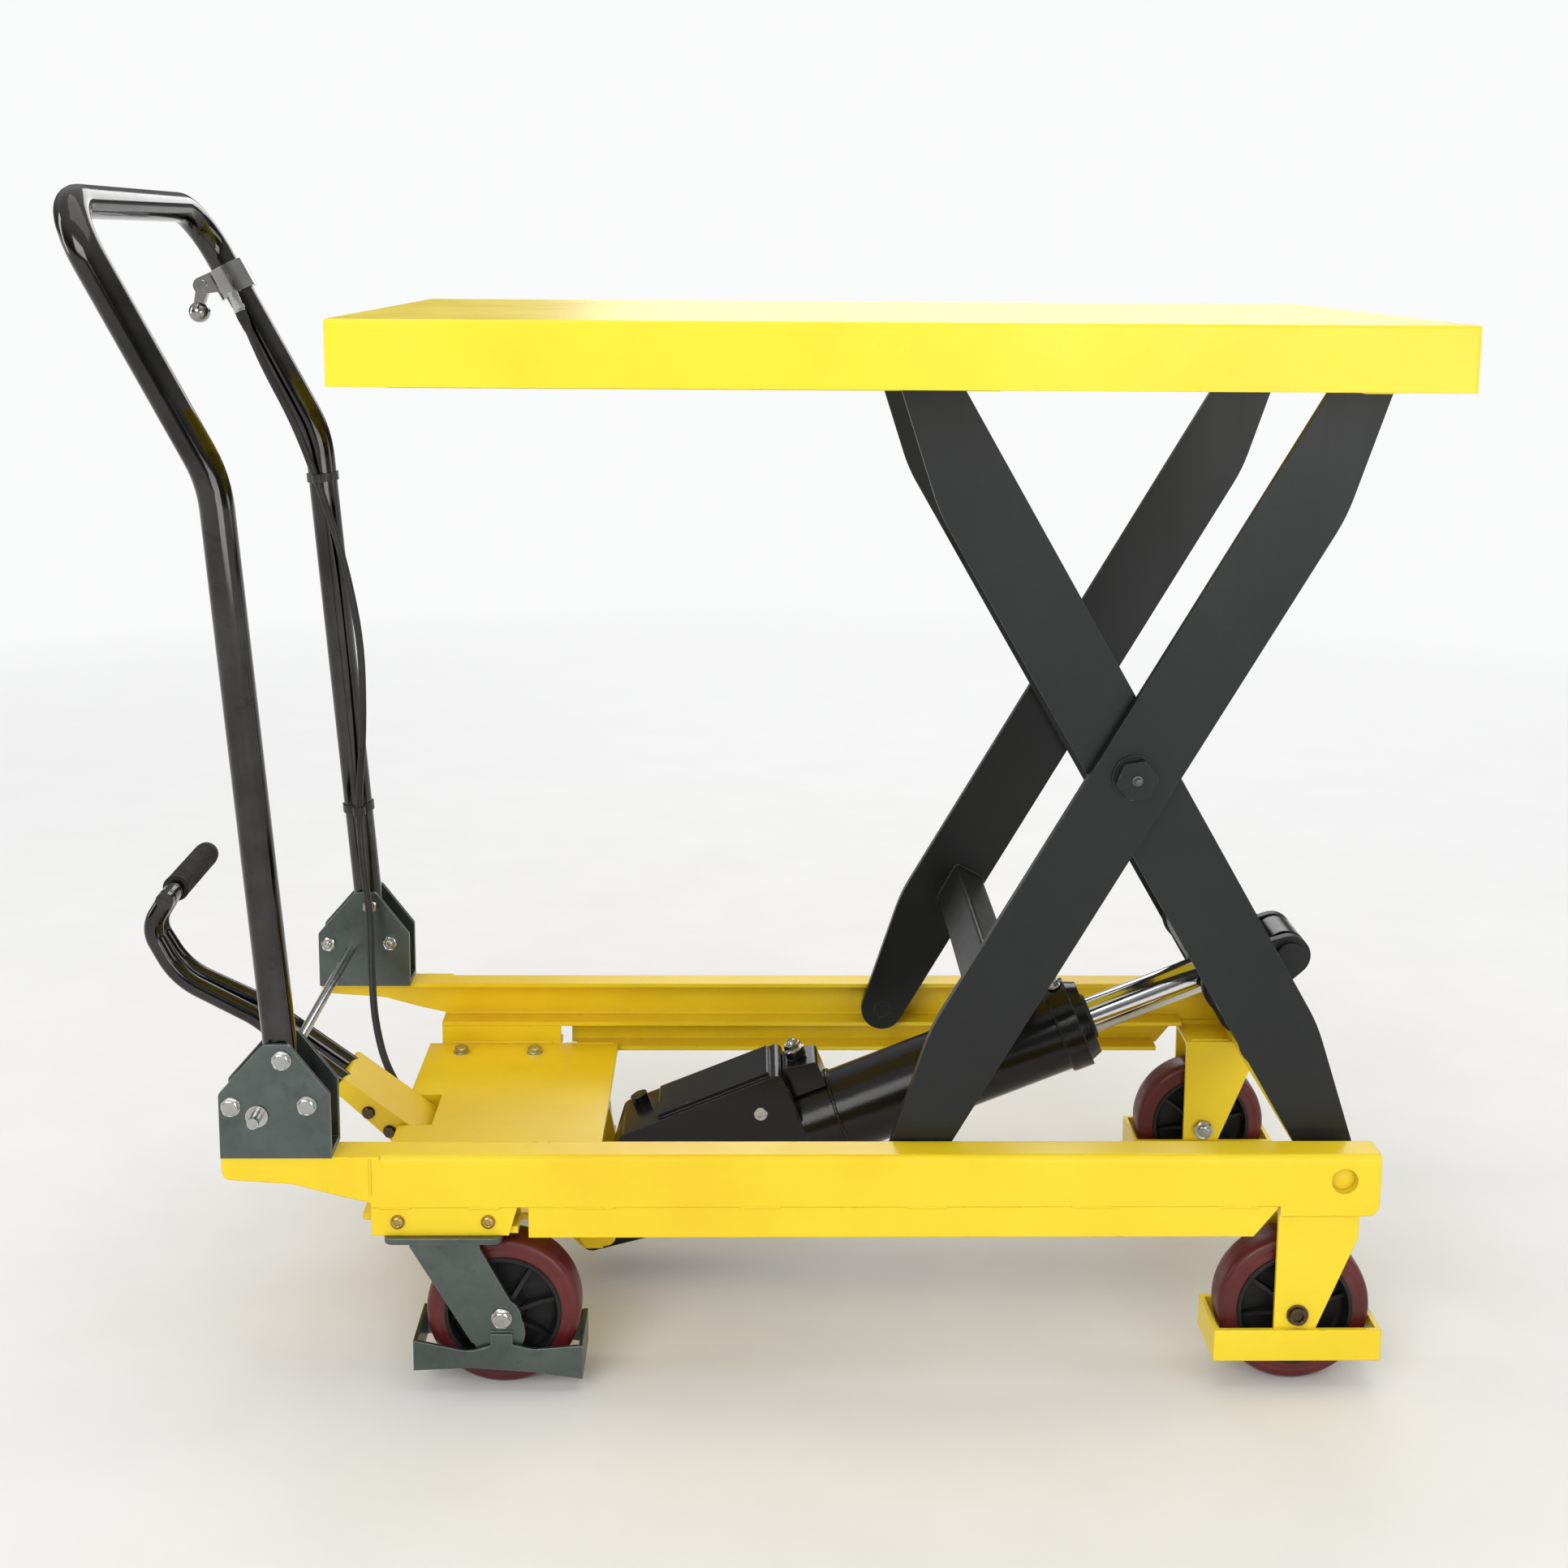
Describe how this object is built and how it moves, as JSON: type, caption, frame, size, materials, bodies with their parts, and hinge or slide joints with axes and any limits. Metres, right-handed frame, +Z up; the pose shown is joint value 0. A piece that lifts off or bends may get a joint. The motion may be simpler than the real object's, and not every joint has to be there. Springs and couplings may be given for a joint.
{
  "type": "scissor lift table",
  "caption": "Mobile hydraulic scissor lift table: flat steel top on folding crossed arms, wheeled base with swivel casters, foot pump pedal and tubular push handle.",
  "frame": {"origin": "bottom centre of the overall box, on the floor", "axes": "+Z up, +X along the table from the push handle to the fixed wheels, +Y across the table to the left seen from the handle"},
  "size_m": [1.0832, 0.5, 0.9754],
  "materials": {
    "yellow_paint": "satin powder coat",
    "arm_black": "satin black paint",
    "handle_chrome": "dark bright plating",
    "zinc": "grey-green passivated zinc",
    "bright_steel": "bright zinc plated",
    "gloss_black": "gloss black paint",
    "rod_chrome": "hard chrome",
    "bronze": "sintered bronze",
    "wheel_red": "polyurethane tread",
    "hub_black": "matt black",
    "grip_rubber": "ribbed rubber",
    "cable_black": "smooth sleeve",
    "roller_steel": "turned steel",
    "tie_black": "moulded"
  },
  "bodies": {
    "chassis": {"left_rail": "yellow_paint", "right_rail": "yellow_paint", "lower_strips": "yellow_paint", "rear_cross_plate": "yellow_paint", "front_cross_plate": "yellow_paint", "front_forks": "yellow_paint", "pivot_shafts": "yellow_paint", "caster_plates": "zinc", "chassis_bolts": "bright_steel", "underframe_lugs": "yellow_paint", "push_handle": "handle_chrome", "handle_brackets": "zinc", "bracket_bolts": "bright_steel", "handle_lock_rod": "bright_steel", "release_clamp": "bright_steel", "release_cable": "cable_black", "cable_fittings": "bright_steel", "cable_ties": "tie_black"},
    "inner_arms": {"inner_arm_right": "arm_black", "inner_arm_left": "arm_black", "inner_arm_bushes": "bronze", "upper_roller_pins": "bright_steel", "inner_cross_tubes": "arm_black", "rod_ear_pins": "arm_black"},
    "outer_arms": {"outer_arm_right": "arm_black", "outer_arm_left": "arm_black", "table_pivot_bushes": "bronze", "lower_roller_pins": "arm_black", "centre_pivot_bolts": "arm_black", "outer_cross_beam": "arm_black"},
    "table": {"table_top": "yellow_paint", "table_tracks": "yellow_paint", "table_pivot_brackets": "yellow_paint"},
    "hydraulic_unit": {"pump_body": "gloss_black", "cylinder_tube": "gloss_black", "cylinder_gland": "gloss_black", "cylinder_clamp": "gloss_black"},
    "piston": {"piston_rod": "rod_chrome", "rod_eye": "gloss_black"},
    "pedal": {"pedal_lever": "yellow_paint", "pedal_frame": "handle_chrome", "pedal_grip": "grip_rubber"},
    "release_lever": {"release_lever": "bright_steel", "release_knob": "bright_steel"},
    "lower_roller_right": {"lower_roller_right": "roller_steel"},
    "upper_roller_right": {"upper_roller_right": "roller_steel"},
    "front_wheel_right": {"front_tyre_right": "wheel_red", "front_hub_right": "hub_black"},
    "caster_right": {"caster_fork_right": "zinc", "caster_axle_right": "bright_steel"},
    "caster_wheel_right": {"caster_tyre_right": "wheel_red", "caster_hub_right": "hub_black"},
    "lower_roller_left": {"lower_roller_left": "roller_steel"},
    "upper_roller_left": {"upper_roller_left": "roller_steel"},
    "front_wheel_left": {"front_tyre_left": "wheel_red", "front_hub_left": "hub_black"},
    "caster_left": {"caster_fork_left": "zinc", "caster_axle_left": "bright_steel"},
    "caster_wheel_left": {"caster_tyre_left": "wheel_red", "caster_hub_left": "hub_black"}
  },
  "joints": [
    {"name": "scissor_fold", "type": "hinge", "parent": "chassis", "child": "inner_arms", "pos_m": [0.48777, 0, 0.182], "axis": [0, 1, 0], "range_deg": [-52.4, 3.99]},
    {"name": "centre_pivot", "type": "hinge", "parent": "inner_arms", "child": "outer_arms", "pos_m": [0.31104, 0, 0.51161], "axis": [0, 1, 0], "range_deg": [-8.2, 105.2]},
    {"name": "table_pivot", "type": "hinge", "parent": "outer_arms", "child": "table", "pos_m": [0.48777, 0, 0.84121], "axis": [0, 1, 0], "range_deg": [-52.7, 4.29]},
    {"name": "unit_swing", "type": "hinge", "parent": "chassis", "child": "hydraulic_unit", "pos_m": [-0.13503, 0, 0.061], "axis": [0, 1, 0], "range_deg": [-2.5, 2.5]},
    {"name": "rod_slide", "type": "slide", "parent": "hydraulic_unit", "child": "piston", "axis": [0.9268, 0, 0.3755], "range_m": [-0.125, 0.02]},
    {"name": "pedal_press", "type": "hinge", "parent": "chassis", "child": "pedal", "pos_m": [-0.27903, 0.022, 0.108], "axis": [0, 1, 0], "range_deg": [-24, 0], "stiffness_Nm_per_rad": 6, "springref_deg": 12},
    {"name": "release_pull", "type": "hinge", "parent": "chassis", "child": "release_lever", "pos_m": [-0.51547, 0.188, 0.89], "axis": [0, 1, 0], "range_deg": [-24, 0], "stiffness_Nm_per_rad": 0.6, "springref_deg": 8.59},
    {"name": "lower_roller_right_spin", "type": "hinge", "parent": "outer_arms", "child": "lower_roller_right", "pos_m": [0.1343, -0.1875, 0.182], "axis": [0, 1, 0], "continuous": true},
    {"name": "upper_roller_right_spin", "type": "hinge", "parent": "inner_arms", "child": "upper_roller_right", "pos_m": [0.1343, -0.14, 0.84121], "axis": [0, 1, 0], "continuous": true},
    {"name": "front_wheel_right_spin", "type": "hinge", "parent": "chassis", "child": "front_wheel_right", "pos_m": [0.45497, -0.176, 0.0635], "axis": [0, 1, 0], "continuous": true},
    {"name": "caster_right_swivel", "type": "hinge", "parent": "chassis", "child": "caster_right", "pos_m": [-0.24503, -0.177, 0.125], "axis": [0, 0, 1], "continuous": true},
    {"name": "caster_wheel_right_spin", "type": "hinge", "parent": "caster_right", "child": "caster_wheel_right", "pos_m": [-0.19903, -0.177, 0.0635], "axis": [0, 1, 0], "continuous": true},
    {"name": "lower_roller_left_spin", "type": "hinge", "parent": "outer_arms", "child": "lower_roller_left", "pos_m": [0.1343, 0.1875, 0.182], "axis": [0, 1, 0], "continuous": true},
    {"name": "upper_roller_left_spin", "type": "hinge", "parent": "inner_arms", "child": "upper_roller_left", "pos_m": [0.1343, 0.14, 0.84121], "axis": [0, 1, 0], "continuous": true},
    {"name": "front_wheel_left_spin", "type": "hinge", "parent": "chassis", "child": "front_wheel_left", "pos_m": [0.45497, 0.176, 0.0635], "axis": [0, 1, 0], "continuous": true},
    {"name": "caster_left_swivel", "type": "hinge", "parent": "chassis", "child": "caster_left", "pos_m": [-0.24503, 0.177, 0.125], "axis": [0, 0, 1], "continuous": true},
    {"name": "caster_wheel_left_spin", "type": "hinge", "parent": "caster_left", "child": "caster_wheel_left", "pos_m": [-0.19903, 0.177, 0.0635], "axis": [0, 1, 0], "continuous": true}
  ],
  "couplings": [
    {"joint": "centre_pivot", "follows": "scissor_fold", "ratio": -2},
    {"joint": "table_pivot", "follows": "scissor_fold", "ratio": 1},
    {"joint": "unit_swing", "follows": "scissor_fold", "ratio": -0.026284},
    {"joint": "rod_slide", "follows": "scissor_fold", "m_per_rad": 0.12365}
  ]
}
